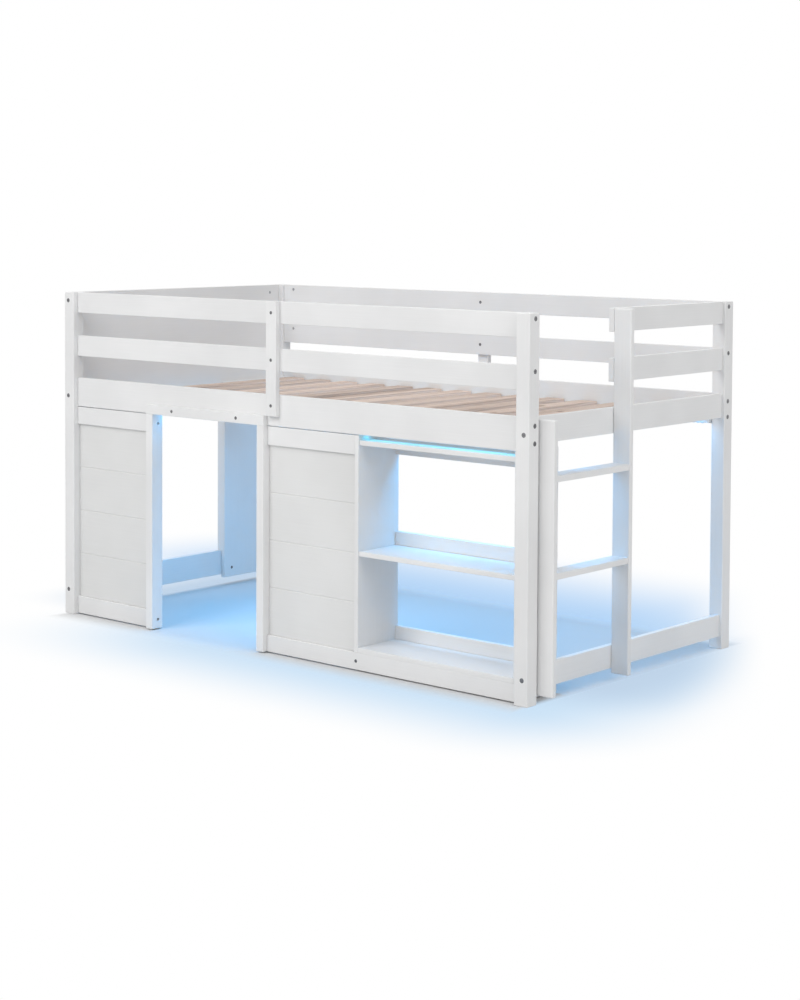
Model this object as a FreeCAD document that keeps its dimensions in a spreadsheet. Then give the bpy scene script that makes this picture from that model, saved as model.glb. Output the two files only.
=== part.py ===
import FreeCAD, Part
import os

# Low loft bed: a single bed on four posts, with guard rails, a short ladder at the right end,
# a play den with a doorway under the left half and a shelf unit under the right half.
# Places are written from the middle of the bed (x), the front faces of the posts (y) and the floor (z).

SIZES = [
    ("bed_length", 1980, "over the outer faces of the posts"),
    ("bed_width", 1084, "over the outer faces of the posts"),
    ("bed_height", 1110, "floor to the top of the posts"),
    ("post_width", 47, "square section of a post"),
    ("post_radius", 3, "rounding of the post edges"),
    ("board_thickness", 18, "rails, side boards, end boards and battens"),
    ("edge_radius", 1.6, "rounding of the board edges"),
    ("side_setback", 18, "side rails behind the outer faces of the posts"),
    ("end_setback", 10, "end boards behind the outer faces of the posts"),
    ("rail_height", 70, "guard rails and right end rail"),
    ("rail_gap", 78, "opening between the two guard rails"),
    ("guard_gap", 75, "opening between the middle guard rail and the side board"),
    ("side_board_height", 98, "front and back side boards"),
    ("end_board_height", 77, "board across the right end, at the deck"),
    ("headboard_rise", 16, "lower edge of the headboard above that of the side boards"),
    ("end_rail_bottom", 40, "lower edge of the two floor rails"),
    ("left_rail_height", 90, "floor rail at the left end"),
    ("batten_width", 44, "upright batten that ties the rails together"),
    ("batten_offset", -9, "front batten from the middle of the bed"),
    ("wing_width", 306, "upright panel beside the back left post"),
    ("wing_bottom", 30, "lower edge of that panel"),
    ("wing_lap", 24, "that panel over the headboard panel"),
    ("wing_strip_width", 40, "edge strip glued to that panel"),
    ("ladder_depth", 61, "ladder stiles, out from the end board"),
    ("ladder_gap", 4, "front stile behind the front post"),
    ("ladder_opening", 359, "between the two stiles"),
    ("ladder_radius", 4, "rounding of the stile edges"),
    ("ladder_foot", 26, "lower end of the stiles above the floor"),
    ("short_stile_drop", 7, "upper end of the front stile below the top edge of the side boards"),
    ("rung_setback", 3, "rung behind the outer edges of the stiles"),
    ("upper_rung_drop", 164, "upper rung below the top edge of the side boards"),
    ("rung_rise", 276, "from the lower rung to the upper one"),
    ("rung_housing", 8, "rung ends let into the stiles"),
    ("door_left", -550, "left side of the doorway from the middle"),
    ("door_width", 480, "clear width of the doorway"),
    ("door_post_width", 30, "posts beside the doorway, seen from the front"),
    ("door_post_depth", 47, "posts beside the doorway, front to back"),
    ("header_height", 32, "strip over the doorway"),
    ("floor_gap", 4, "den panels and shelf unit above the floor"),
    ("panel_gap", 2, "den panels and shelf unit below the side board"),
    ("panel_rail_height", 59, "top and bottom rails of the den panels"),
    ("panel_board_thickness", 9, "grooved boards of the den panels"),
    ("panel_board_count", 4, "planks that the grooves draw on a panel"),
    ("groove_width", 4, "groove between two planks"),
    ("apron_height", 53, "board along the floor below the shelves"),
    ("shelf_left", 341, "left inner side of the shelf unit from the middle"),
    ("shelf_back", 207, "back of the shelf unit"),
    ("shelf_thickness", 15, "boards of the shelf unit"),
    ("shelf_setback", 4, "shelf fronts behind the front of the unit"),
    ("shelf_top_gap", 17, "top shelf below the side board"),
    ("shelf_middle", 365, "upper face of the middle shelf"),
    ("shelf_lip_height", 42, "lips along the backs of the shelves"),
    ("slat_count", 14, "slats across the bed"),
    ("slat_width", 70, "along the bed"),
    ("slat_thickness", 16, "pine slat"),
    ("slat_end_gap", 62, "first and last slat from the end boards"),
    ("slat_play", 8, "slat ends short of the side boards"),
    ("ledger_depth", 24, "strips that carry the slats, front to back"),
    ("ledger_height", 24, "strips that carry the slats"),
    ("ledger_rise", 3, "ledgers above the lower edges of the side boards"),
    ("ledger_screw_count", 5, "screws along each ledger"),
    ("ledger_screw_margin", 120, "outer screws from the ends of a ledger"),
    ("ledger_screw_rise", 6, "ledger screws above the lower face of a ledger"),
    ("led_width", 10, "light strip under each ledger"),
    ("led_thickness", 2.5, "light strip under each ledger"),
    ("led_margin", 20, "ends of the light strip from the posts"),
    ("bolt_diameter", 6, "connector bolt"),
    ("bolt_head_diameter", 14, "connector bolt"),
    ("bolt_head_height", 5, "connector bolt"),
    ("bolt_tail", 9, "connector bolt past the middle of its nut"),
    ("bolt_clearance", 0.6, "bolt, head and nut in their holes, on the diameter"),
    ("bolt_drop", 16, "rail bolts below the top edge of a rail"),
    ("bolt_margin", 24, "side board bolts from the edges of the board"),
    ("bolt_stagger", 12, "bolts that cross in a post, one above the other"),
    ("nut_diameter", 10, "barrel nut"),
    ("nut_distance", 48, "barrel nut from the end of its board"),
    ("nut_skin", 4, "wood left behind a barrel nut"),
    ("screw_diameter", 5, "wood screw"),
    ("screw_head_diameter", 10.5, "wood screw"),
    ("screw_head_height", 3.5, "wood screw"),
    ("screw_clearance", 0.4, "screw and head in their holes, on the diameter"),
    ("screw_tip_cover", 3, "wood left in front of a screw in two boards"),
    ("key_width", 4, "hexagon key recess across its corners"),
    ("key_depth", 2.4, "hexagon key recess"),
    ("door_screw_spacing", 295, "two screws in the door header"),
    ("shelf_screw_margin", 40, "shelf screws from the front and back edges"),
    ("wing_screw_margin", 38, "wing panel screws from its upright edges"),
]

doc = FreeCAD.newDocument("low_loft_bed")
sheet = doc.addObject("Spreadsheet::Sheet", "Sizes")
for row, (alias, value, note) in enumerate(SIZES, start=1):
    sheet.set(f"A{row}", alias)
    sheet.set(f"B{row}", str(value))
    sheet.set(f"C{row}", note)
    sheet.setAlias(f"B{row}", alias)
doc.recompute()

# Places that many pieces share.
x_post = "(Sizes.bed_length / 2 - Sizes.post_width)"
x_end = "(Sizes.bed_length / 2 - Sizes.end_setback)"
x_end_inner = f"({x_end} - Sizes.board_thickness)"
y_back_post = "(Sizes.bed_width - Sizes.post_width)"
y_front = "Sizes.side_setback"
y_front_inner = "(Sizes.side_setback + Sizes.board_thickness)"
y_front_face = "(Sizes.side_setback - Sizes.board_thickness)"
y_back = "(Sizes.bed_width - Sizes.side_setback)"
y_back_inner = f"({y_back} - Sizes.board_thickness)"
y_back_face = f"({y_back} + Sizes.board_thickness)"
z_top_rail = "(Sizes.bed_height - Sizes.rail_height)"
z_mid_rail_top = f"({z_top_rail} - Sizes.rail_gap)"
z_mid_rail = f"({z_mid_rail_top} - Sizes.rail_height)"
z_side_top = f"({z_mid_rail} - Sizes.guard_gap)"
z_side = f"({z_side_top} - Sizes.side_board_height)"
z_header_top = f"({z_side} + Sizes.header_height)"
z_headboard = f"({z_side} + Sizes.headboard_rise)"
z_end_board = f"({z_side_top} - Sizes.end_board_height)"
z_ledger = f"({z_side} + Sizes.ledger_rise)"
z_slat = f"({z_ledger} + Sizes.ledger_height)"
z_slat_top = f"({z_slat} + Sizes.slat_thickness)"
x_door_left = "(Sizes.door_left - Sizes.door_post_width)"
x_door_right = "(Sizes.door_left + Sizes.door_width)"
x_den_right = f"({x_door_right} + Sizes.door_post_width)"
x_shelf_side = "(Sizes.shelf_left - Sizes.shelf_thickness)"
x_shelf_right = f"({x_post} - Sizes.shelf_thickness)"
y_short_stile = "(Sizes.post_width + Sizes.ladder_gap)"
y_short_inner = f"({y_short_stile} + Sizes.board_thickness)"
y_tall_stile = f"({y_short_inner} + Sizes.ladder_opening)"
z_panel_top = f"({z_side} - Sizes.panel_gap)"
z_panel_rail = f"({z_panel_top} - Sizes.panel_rail_height)"
z_apron_top = "(Sizes.floor_gap + Sizes.apron_height)"
y_shelf = "(Sizes.side_setback + Sizes.shelf_setback)"
y_lip = "(Sizes.shelf_back - Sizes.shelf_thickness)"
screw_length = "(2 * Sizes.board_thickness - Sizes.screw_head_height - Sizes.screw_tip_cover)"
bolt_length = "(Sizes.post_width - Sizes.bolt_head_height + Sizes.nut_distance + Sizes.bolt_tail)"
nut_length = "(Sizes.board_thickness - Sizes.nut_skin)"

# The frame's origin is on the floor, under the middle of the whole outline with its ladder.
frame_origin = ("(Sizes.ladder_depth - Sizes.end_setback) / 2", "Sizes.bed_width / 2", "0")

TURNS = {
    "+X": FreeCAD.Rotation(FreeCAD.Vector(0, 1, 0), 90),
    "-X": FreeCAD.Rotation(FreeCAD.Vector(0, 1, 0), -90),
    "+Y": FreeCAD.Rotation(FreeCAD.Vector(1, 0, 0), -90),
    "-Y": FreeCAD.Rotation(FreeCAD.Vector(1, 0, 0), 90),
}

blanks = {}
bores = {}
bolt_links = []
nut_links = []
screw_links = []


def middle(low, high):
    return f"(({low}) + ({high})) / 2"


def along(point, axis, distance):
    """The point moved by a distance along an axis such as -X."""
    moved = list(point)
    index = "XYZ".index(axis[1])
    moved[index] = f"({point[index]} {axis[0]} ({distance}))"
    return tuple(moved)


def place(item, point, turn=FreeCAD.Rotation()):
    """Bind an object's place to a point of the bed."""
    item.Placement = FreeCAD.Placement(FreeCAD.Vector(), turn)
    for letter, value, origin in zip("xyz", point, frame_origin):
        item.setExpression(f"Placement.Base.{letter}", f"{value} - {origin}")


def set_local(item, letter, value):
    item.setExpression(f"Placement.Base.{letter}", value)


def board(node, x, y, z, radius="Sizes.edge_radius"):
    """A board between (low, high) places, with rounded edges."""
    body = doc.addObject("PartDesign::Body", f"{node}_blank")
    box = body.newObject("PartDesign::AdditiveBox", f"{node}_box")
    box.setExpression("Length", f"{x[1]} - ({x[0]})")
    box.setExpression("Width", f"{y[1]} - ({y[0]})")
    box.setExpression("Height", f"{z[1]} - ({z[0]})")
    doc.recompute([box])
    rounding = body.newObject("PartDesign::Fillet", f"{node}_rounding")
    rounding.Base = (box, ["Edge1"])
    rounding.UseAllEdges = True
    rounding.setExpression("Radius", radius)
    place(body, (x[0], y[0], z[0]))
    blanks[node] = body
    return body


def drill(node, axis, point, diameter, depth):
    """A round hole in a board, from a point along an axis."""
    tool = doc.addObject("Part::Cylinder", f"{node}_bore")
    tool.setExpression("Radius", f"({diameter}) / 2")
    tool.setExpression("Height", depth)
    place(tool, point, TURNS[axis])
    bores.setdefault(node, []).append(tool)


def house(node, x, y, z):
    """A square housing in a board for the end of another one, between (low, high) places."""
    tool = doc.addObject("Part::Box", f"{node}_housing")
    tool.setExpression("Length", f"{x[1]} - ({x[0]})")
    tool.setExpression("Width", f"{y[1]} - ({y[0]})")
    tool.setExpression("Height", f"{z[1]} - ({z[0]})")
    place(tool, (x[0], y[0], z[0]))
    bores.setdefault(node, []).append(tool)


def copy_of(master, links, point, axis):
    """One more fastener, at a point and along an axis."""
    link = doc.addObject("App::Link", f"{master.Name}_copy")
    link.LinkedObject = master
    place(link, point, TURNS[axis])
    links.append(link)


def headed_pin(name, shank, length, head, head_height):
    """A bolt or screw along +Z, with its head below the origin and a hexagon recess."""
    body = doc.addObject("PartDesign::Body", name)
    cap = body.newObject("PartDesign::AdditiveCylinder", f"{name}_head")
    cap.setExpression("Radius", f"{head} / 2")
    cap.setExpression("Height", head_height)
    set_local(cap, "z", f"-{head_height}")
    stem = body.newObject("PartDesign::AdditiveCylinder", f"{name}_shank")
    stem.setExpression("Radius", f"{shank} / 2")
    stem.setExpression("Height", length)
    key = body.newObject("PartDesign::SubtractivePrism", f"{name}_key")
    key.Polygon = 6
    key.setExpression("Circumradius", "Sizes.key_width / 2")
    key.setExpression("Height", "Sizes.key_depth")
    set_local(key, "z", f"-{head_height}")
    return body


def bolt(post, rail, axis, point, nut_axis):
    """A bolt through a post into the end of a board, with its barrel nut in the board.

    The point is on the outer face of the post. The nut goes in along nut_axis, from the inner face."""
    hole = "Sizes.bolt_diameter + Sizes.bolt_clearance"
    seat = along(point, axis, "Sizes.bolt_head_height")
    head_hole = "Sizes.bolt_head_diameter + Sizes.bolt_clearance"
    drill(post, axis, point, head_hole, "Sizes.bolt_head_height")
    drill(post, axis, seat, hole, bolt_length)
    drill(rail, axis, seat, hole, bolt_length)
    nut_middle = along(point, axis, "Sizes.post_width + Sizes.nut_distance")
    nut_start = along(nut_middle, nut_axis, "-Sizes.board_thickness / 2")
    drill(rail, nut_axis, nut_start, "Sizes.nut_diameter + Sizes.bolt_clearance", nut_length)
    copy_of(bolt_master, bolt_links, seat, axis)
    copy_of(nut_masters[axis], nut_links, nut_start, nut_axis)


def screw(first, second, axis, point, sink="0"):
    """A screw through one board into another, from a point on the first board's face."""
    hole = "Sizes.screw_diameter + Sizes.screw_clearance"
    head_depth = f"({sink} + Sizes.screw_head_height)"
    seat = along(point, axis, head_depth)
    drill(first, axis, point, "Sizes.screw_head_diameter + Sizes.screw_clearance", head_depth)
    for node in (first, second):
        drill(node, axis, seat, hole, screw_length)
    copy_of(screw_master, screw_links, seat, axis)


# Fasteners, each modelled once.
bolt_master = headed_pin(
    "connector_bolt", "Sizes.bolt_diameter", bolt_length, "Sizes.bolt_head_diameter", "Sizes.bolt_head_height"
)
screw_master = headed_pin(
    "wood_screw", "Sizes.screw_diameter", screw_length, "Sizes.screw_head_diameter", "Sizes.screw_head_height"
)


def barrel_nut(name, bolt_axis):
    """A barrel nut along +Z with its cross hole along the bolt."""
    body = doc.addObject("PartDesign::Body", name)
    barrel = body.newObject("PartDesign::AdditiveCylinder", f"{name}_barrel")
    barrel.setExpression("Radius", "Sizes.nut_diameter / 2")
    barrel.setExpression("Height", nut_length)
    cross = body.newObject("PartDesign::SubtractiveCylinder", f"{name}_cross_hole")
    cross.setExpression("Radius", "(Sizes.bolt_diameter + Sizes.bolt_clearance) / 2")
    cross.setExpression("Height", "2 * Sizes.nut_diameter")
    cross.Placement = FreeCAD.Placement(FreeCAD.Vector(), TURNS[bolt_axis])
    set_local(cross, "x" if bolt_axis == "+X" else "y", "-Sizes.nut_diameter")
    set_local(cross, "z", "Sizes.board_thickness / 2")
    return body


nut_along_x = barrel_nut("barrel_nut_for_side_rail", "+X")
nut_along_y = barrel_nut("barrel_nut_for_end_board", "+Y")
nut_masters = {"+X": nut_along_x, "-X": nut_along_x, "+Y": nut_along_y, "-Y": nut_along_y}

# Posts
z_full = ("0", "Sizes.bed_height")
left_x = ("-Sizes.bed_length / 2", f"-{x_post}")
right_x = (x_post, "Sizes.bed_length / 2")
front_y = ("0", "Sizes.post_width")
back_y = (y_back_post, "Sizes.bed_width")
board("post_front_left", left_x, front_y, z_full, "Sizes.post_radius")
board("post_front_right", right_x, front_y, z_full, "Sizes.post_radius")
board("post_back_left", left_x, back_y, z_full, "Sizes.post_radius")
board("post_back_right", right_x, back_y, z_full, "Sizes.post_radius")

# Front and back sides: two guard rails, a side board and the batten that ties them.
between_posts = (f"-{x_post}", x_post)
top_rail_z = (z_top_rail, "Sizes.bed_height")
mid_rail_z = (z_mid_rail, z_mid_rail_top)
side_board_z = (z_side, z_side_top)
batten_z = (z_header_top, "Sizes.bed_height")
for side, y in (("front", (y_front, y_front_inner)), ("back", (y_back_inner, y_back))):
    board(f"{side}_top_rail", between_posts, y, top_rail_z)
    board(f"{side}_middle_rail", between_posts, y, mid_rail_z)
    board(f"{side}_side_board", between_posts, y, side_board_z)
batten_low = "(Sizes.batten_offset - Sizes.batten_width / 2)"
batten_high = "(Sizes.batten_offset + Sizes.batten_width / 2)"
board("front_batten", (batten_low, batten_high), (y_front_face, y_front), batten_z)
back_batten_x = ("-Sizes.batten_width / 2", "Sizes.batten_width / 2")
board("back_batten", back_batten_x, (y_back, y_back_face), batten_z)

# Left end: headboard panel, floor rail and the wing panel beside the back post.
left_end_x = (f"-{x_end}", f"-{x_end_inner}")
right_end_x = (x_end_inner, x_end)
across = ("Sizes.post_width", y_back_post)
left_rail_top = "(Sizes.end_rail_bottom + Sizes.left_rail_height)"
board("headboard_panel", left_end_x, across, (z_headboard, "Sizes.bed_height"))
board("left_floor_rail", left_end_x, across, ("Sizes.end_rail_bottom", left_rail_top))
y_wing = f"({y_back_post} - Sizes.wing_width)"
wing_x = (left_end_x[1], f"(-{x_end_inner} + Sizes.board_thickness)")
wing_z = ("Sizes.wing_bottom", f"({z_headboard} + Sizes.wing_lap)")
wing = board("left_wing_panel", wing_x, (y_wing, y_back_post), wing_z)
# The edge strip is let into the panel by half its thickness, so that the two are one solid.
strip = wing.newObject("PartDesign::AdditiveBox", "left_wing_panel_strip")
strip.setExpression("Length", "Sizes.board_thickness + Sizes.board_thickness / 2")
strip.setExpression("Width", "Sizes.wing_strip_width")
strip.setExpression("Height", f"{z_headboard} - {left_rail_top}")
set_local(strip, "x", "-Sizes.board_thickness")
set_local(strip, "z", f"{left_rail_top} - Sizes.wing_bottom")

# Right end: guard rails up to the front of the tall stile, the deck board and the floor rail.
guard_y = (y_tall_stile, y_back_post)
board("right_top_guard", right_end_x, guard_y, top_rail_z)
board("right_middle_guard", right_end_x, guard_y, mid_rail_z)
board("right_end_board", right_end_x, across, (z_end_board, z_side_top))
right_rail_top = "(Sizes.end_rail_bottom + Sizes.rail_height)"
board("right_floor_rail", right_end_x, across, ("Sizes.end_rail_bottom", right_rail_top))

# Ladder on the outside of the right end, with its rungs glued into housings in the stiles.
ladder_x = (x_end, f"({x_end} + Sizes.ladder_depth)")
rung_x = (x_end, f"({x_end} + Sizes.ladder_depth - Sizes.rung_setback)")
short_y = (y_short_stile, y_short_inner)
tall_y = (y_tall_stile, f"({y_tall_stile} + Sizes.board_thickness)")
z_short_stile = f"({z_side_top} - Sizes.short_stile_drop)"
z_upper_rung = f"({z_side_top} - Sizes.upper_rung_drop)"
rung_tops = {"lower": f"({z_upper_rung} - Sizes.rung_rise)", "upper": z_upper_rung}
board("ladder_short_stile", ladder_x, short_y, ("Sizes.ladder_foot", z_short_stile), "Sizes.ladder_radius")
board("ladder_tall_stile", ladder_x, tall_y, ("Sizes.ladder_foot", "Sizes.bed_height"), "Sizes.ladder_radius")
rung_y = (f"({y_short_inner} - Sizes.rung_housing)", f"({y_tall_stile} + Sizes.rung_housing)")
for step, rung_top in rung_tops.items():
    rung_z = (f"({rung_top} - Sizes.board_thickness)", rung_top)
    board(f"ladder_{step}_rung", rung_x, rung_y, rung_z)
    house("ladder_short_stile", rung_x, (rung_y[0], y_short_inner), rung_z)
    house("ladder_tall_stile", rung_x, (y_tall_stile, rung_y[1]), rung_z)

# Doorway of the den: two posts and a header strip in front of the side board.
door_post_y = (y_front_face, f"({y_front_face} + Sizes.door_post_depth)")
door_post_z = ("Sizes.floor_gap", z_side)
board("door_post_left", (x_door_left, "Sizes.door_left"), door_post_y, door_post_z)
board("door_post_right", (x_door_right, x_den_right), door_post_y, door_post_z)
board("door_header", (x_door_left, x_den_right), (y_front_face, y_front), (z_side, z_header_top))


def grooved_panel(node, x, z):
    """Boards of a den panel, drawn as planks by level V grooves on the front face."""
    y = (f"({y_front_inner} - Sizes.panel_board_thickness)", y_front_inner)
    body = board(node, x, y, z)
    slope = FreeCAD.Rotation(FreeCAD.Vector(1, 0, 0), 45)
    for plank in range(1, int(sheet.get("panel_board_count"))):
        groove = body.newObject("PartDesign::SubtractiveBox", f"{node}_groove")
        groove.setExpression("Length", f"{x[1]} - ({x[0]})")
        groove.setExpression("Width", "Sizes.groove_width / sqrt(2)")
        groove.setExpression("Height", "Sizes.groove_width / sqrt(2)")
        groove.Placement = FreeCAD.Placement(FreeCAD.Vector(), slope)
        plank_top = f"({z[1]} - ({z[0]})) * {plank} / Sizes.panel_board_count"
        set_local(groove, "z", f"{plank_top} - Sizes.groove_width / 2")


# Den panels: rails with grooved boards between them, and the apron that runs on below the shelves.
frame_y = (y_front, y_front_inner)
left_panel_x = (f"-{x_post}", x_door_left)
right_panel_x = (x_den_right, x_shelf_side)
panel_rail_z = (z_panel_rail, z_panel_top)
z_left_rail_top = "(Sizes.floor_gap + Sizes.panel_rail_height)"
board("left_panel_top_rail", left_panel_x, frame_y, panel_rail_z)
board("left_panel_bottom_rail", left_panel_x, frame_y, ("Sizes.floor_gap", z_left_rail_top))
grooved_panel("left_panel_boards", left_panel_x, (z_left_rail_top, z_panel_rail))
board("right_panel_top_rail", right_panel_x, frame_y, panel_rail_z)
grooved_panel("right_panel_boards", right_panel_x, (z_apron_top, z_panel_rail))
board("apron", (x_den_right, x_post), frame_y, ("Sizes.floor_gap", z_apron_top))

# Shelf unit: two sides, three shelves and a lip along the back of each shelf.
shelf_x = ("Sizes.shelf_left", x_shelf_right)
side_y = (y_front, "Sizes.shelf_back")
side_z = ("Sizes.floor_gap", z_panel_top)
for node, x in (
    ("shelf_side_left", (x_shelf_side, "Sizes.shelf_left")),
    ("shelf_side_right", (x_shelf_right, x_post)),
):
    side = board(node, x, side_y, side_z)
    notch = side.newObject("PartDesign::SubtractiveBox", f"{node}_apron_notch")
    notch.setExpression("Length", "Sizes.shelf_thickness")
    notch.setExpression("Width", "Sizes.board_thickness")
    notch.setExpression("Height", "Sizes.apron_height")
z_shelf_bottom = f"({z_apron_top} + Sizes.shelf_thickness)"
z_shelf_top = f"({z_side} - Sizes.shelf_top_gap)"
z_shelf_under_top = f"({z_shelf_top} - Sizes.shelf_thickness)"
z_shelf_under_middle = "(Sizes.shelf_middle - Sizes.shelf_thickness)"
shelf_y = (y_shelf, "Sizes.shelf_back")
lip_y = (y_lip, "Sizes.shelf_back")
board("shelf_top", shelf_x, shelf_y, (z_shelf_under_top, z_shelf_top))
board("shelf_middle", shelf_x, shelf_y, (z_shelf_under_middle, "Sizes.shelf_middle"))
board("shelf_bottom", shelf_x, side_y, (z_apron_top, z_shelf_bottom))
z_top_lip = f"({z_shelf_under_top} - Sizes.shelf_lip_height)"
board("shelf_top_lip", shelf_x, lip_y, (z_top_lip, z_shelf_under_top))
for shelf, z in (("middle", "Sizes.shelf_middle"), ("bottom", z_shelf_bottom)):
    board(f"shelf_{shelf}_lip", shelf_x, lip_y, (z, f"({z} + Sizes.shelf_lip_height)"))

# Bed base: two ledgers on the side boards and the slats across them.
front_ledger_y = (y_front_inner, f"({y_front_inner} + Sizes.ledger_depth)")
back_ledger_y = (f"({y_back_inner} - Sizes.ledger_depth)", y_back_inner)
board("front_ledger", between_posts, front_ledger_y, (z_ledger, z_slat))
board("back_ledger", between_posts, back_ledger_y, (z_ledger, z_slat))
slat_count = int(sheet.get("slat_count"))
slat_y = (f"({y_front_inner} + Sizes.slat_play)", f"({y_back_inner} - Sizes.slat_play)")
slat_start = f"(-{x_end_inner} + Sizes.slat_end_gap)"
slat_run = f"(2 * {x_end_inner} - 2 * Sizes.slat_end_gap - Sizes.slat_width)"
slat_pitch = f"({slat_run} / (Sizes.slat_count - 1))"
for index in range(slat_count):
    slat_low = f"({slat_start} + {index} * {slat_pitch})"
    slat_x = (slat_low, f"({slat_low} + Sizes.slat_width)")
    board(f"slat_{index + 1:02d}", slat_x, slat_y, (z_slat, z_slat_top))

# Light strips stuck under the inner edges of the two ledgers.
led_x = (f"(-{x_post} + Sizes.led_margin)", f"({x_post} - Sizes.led_margin)")
led_z = (f"({z_ledger} - Sizes.led_thickness)", z_ledger)
led_runs = []
for name, low in (
    ("led_front_run", f"({front_ledger_y[1]} - Sizes.led_width)"),
    ("led_back_run", back_ledger_y[0]),
):
    run = doc.addObject("Part::Box", name)
    run.setExpression("Length", f"{led_x[1]} - {led_x[0]}")
    run.setExpression("Width", "Sizes.led_width")
    run.setExpression("Height", "Sizes.led_thickness")
    place(run, (led_x[0], low, led_z[0]))
    led_runs.append(run)

# Bolts through the posts into the side rails and side boards, along the bed.
top_bolt = "(Sizes.bed_height - Sizes.bolt_drop)"
mid_bolt = f"({z_mid_rail_top} - Sizes.bolt_drop)"
high_bolt = f"({z_side_top} - Sizes.bolt_margin)"
low_bolt = f"({z_side} + Sizes.bolt_margin)"
side_bolts = (
    ("top_rail", top_bolt),
    ("middle_rail", mid_bolt),
    ("side_board", high_bolt),
    ("side_board", low_bolt),
)
front_bolt_y = middle(y_front, y_front_inner)
back_bolt_y = middle(y_back_inner, y_back)
for piece, z in side_bolts:
    bolt("post_front_left", f"front_{piece}", "+X", (left_x[0], front_bolt_y, z), "-Y")
    bolt("post_front_right", f"front_{piece}", "-X", (right_x[1], front_bolt_y, z), "-Y")
    bolt("post_back_left", f"back_{piece}", "+X", (left_x[0], back_bolt_y, z), "+Y")
    bolt("post_back_right", f"back_{piece}", "-X", (right_x[1], back_bolt_y, z), "+Y")

# Bolts through the posts into the end boards, across the bed, clear of the ones above.
left_bolt_x = middle(left_end_x[0], left_end_x[1])
right_bolt_x = middle(right_end_x[0], right_end_x[1])
left_bolts = (
    ("headboard_panel", f"({top_bolt} - Sizes.bolt_stagger)"),
    ("headboard_panel", f"({low_bolt} + Sizes.bolt_stagger)"),
    ("left_floor_rail", middle("Sizes.end_rail_bottom", left_rail_top)),
)
right_bolts = (
    ("right_end_board", middle(low_bolt, high_bolt)),
    ("right_floor_rail", middle("Sizes.end_rail_bottom", right_rail_top)),
)
guard_bolts = (
    ("right_top_guard", f"({top_bolt} - Sizes.bolt_stagger)"),
    ("right_middle_guard", f"({mid_bolt} - Sizes.bolt_stagger)"),
)
for piece, z in left_bolts:
    bolt("post_front_left", piece, "+Y", (left_bolt_x, "0", z), "-X")
    bolt("post_back_left", piece, "-Y", (left_bolt_x, "Sizes.bed_width", z), "-X")
for piece, z in right_bolts:
    bolt("post_front_right", piece, "+Y", (right_bolt_x, "0", z), "+X")
for piece, z in right_bolts + guard_bolts:
    bolt("post_back_right", piece, "-Y", (right_bolt_x, "Sizes.bed_width", z), "+X")

# Screws of the battens, from the front face at the front and from inside the bed at the back.
batten_screws = (
    ("top_rail", middle(top_rail_z[0], top_rail_z[1])),
    ("middle_rail", middle(mid_rail_z[0], mid_rail_z[1])),
    ("side_board", middle(z_header_top, z_side_top)),
)
for piece, z in batten_screws:
    screw("front_batten", f"front_{piece}", "+Y", ("Sizes.batten_offset", y_front_face, z))
    screw(f"back_{piece}", "back_batten", "+Y", ("0", y_back_inner, z))

# Screws of the ledgers, from inside, into the side boards.
ledger_screw_count = int(sheet.get("ledger_screw_count"))
ledger_run = f"(2 * ({x_post} - Sizes.ledger_screw_margin) / (Sizes.ledger_screw_count - 1))"
ledger_screw_z = f"({z_ledger} + Sizes.ledger_screw_rise)"
for index in range(ledger_screw_count):
    x = f"(-{x_post} + Sizes.ledger_screw_margin + {index} * {ledger_run})"
    screw("front_ledger", "front_side_board", "-Y", (x, front_ledger_y[1], ledger_screw_z))
    screw("back_ledger", "back_side_board", "+Y", (x, back_ledger_y[0], ledger_screw_z))

# Screws of the doorway: two in the header, and through each door post into the panel rails.
door_middle = "(Sizes.door_left + Sizes.door_width / 2)"
header_screw_z = middle(z_side, z_header_top)
for sign in ("-", "+"):
    x = f"({door_middle} {sign} Sizes.door_screw_spacing / 2)"
    screw("door_header", "front_side_board", "+Y", (x, y_front_face, header_screw_z))
door_sink = "(Sizes.door_post_width - Sizes.board_thickness)"
frame_middle = middle(y_front, y_front_inner)
top_rail_middle = middle(panel_rail_z[0], panel_rail_z[1])
for rail, z in (
    ("left_panel_top_rail", top_rail_middle),
    ("left_panel_bottom_rail", middle("Sizes.floor_gap", z_left_rail_top)),
):
    screw("door_post_left", rail, "-X", ("Sizes.door_left", frame_middle, z), door_sink)
for rail, z in (
    ("right_panel_top_rail", top_rail_middle),
    ("apron", middle("Sizes.floor_gap", z_apron_top)),
):
    screw("door_post_right", rail, "+X", (x_door_right, frame_middle, z), door_sink)

# Screws of the shelf unit, through its sides into the shelves, and through the apron into its left side.
shelf_front_screw = f"({y_shelf} + Sizes.shelf_screw_margin)"
shelf_back_screw = "(Sizes.shelf_back - Sizes.shelf_screw_margin)"
for shelf, z in (
    ("shelf_top", middle(z_shelf_under_top, z_shelf_top)),
    ("shelf_middle", middle(z_shelf_under_middle, "Sizes.shelf_middle")),
    ("shelf_bottom", middle(z_apron_top, z_shelf_bottom)),
):
    for y in (shelf_front_screw, shelf_back_screw):
        screw("shelf_side_left", shelf, "+X", (x_shelf_side, y, z))
        screw("shelf_side_right", shelf, "-X", (x_post, y, z))
apron_screw = (middle(x_shelf_side, "Sizes.shelf_left"), y_front, middle("Sizes.floor_gap", z_apron_top))
screw("apron", "shelf_side_left", "+Y", apron_screw)

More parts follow.
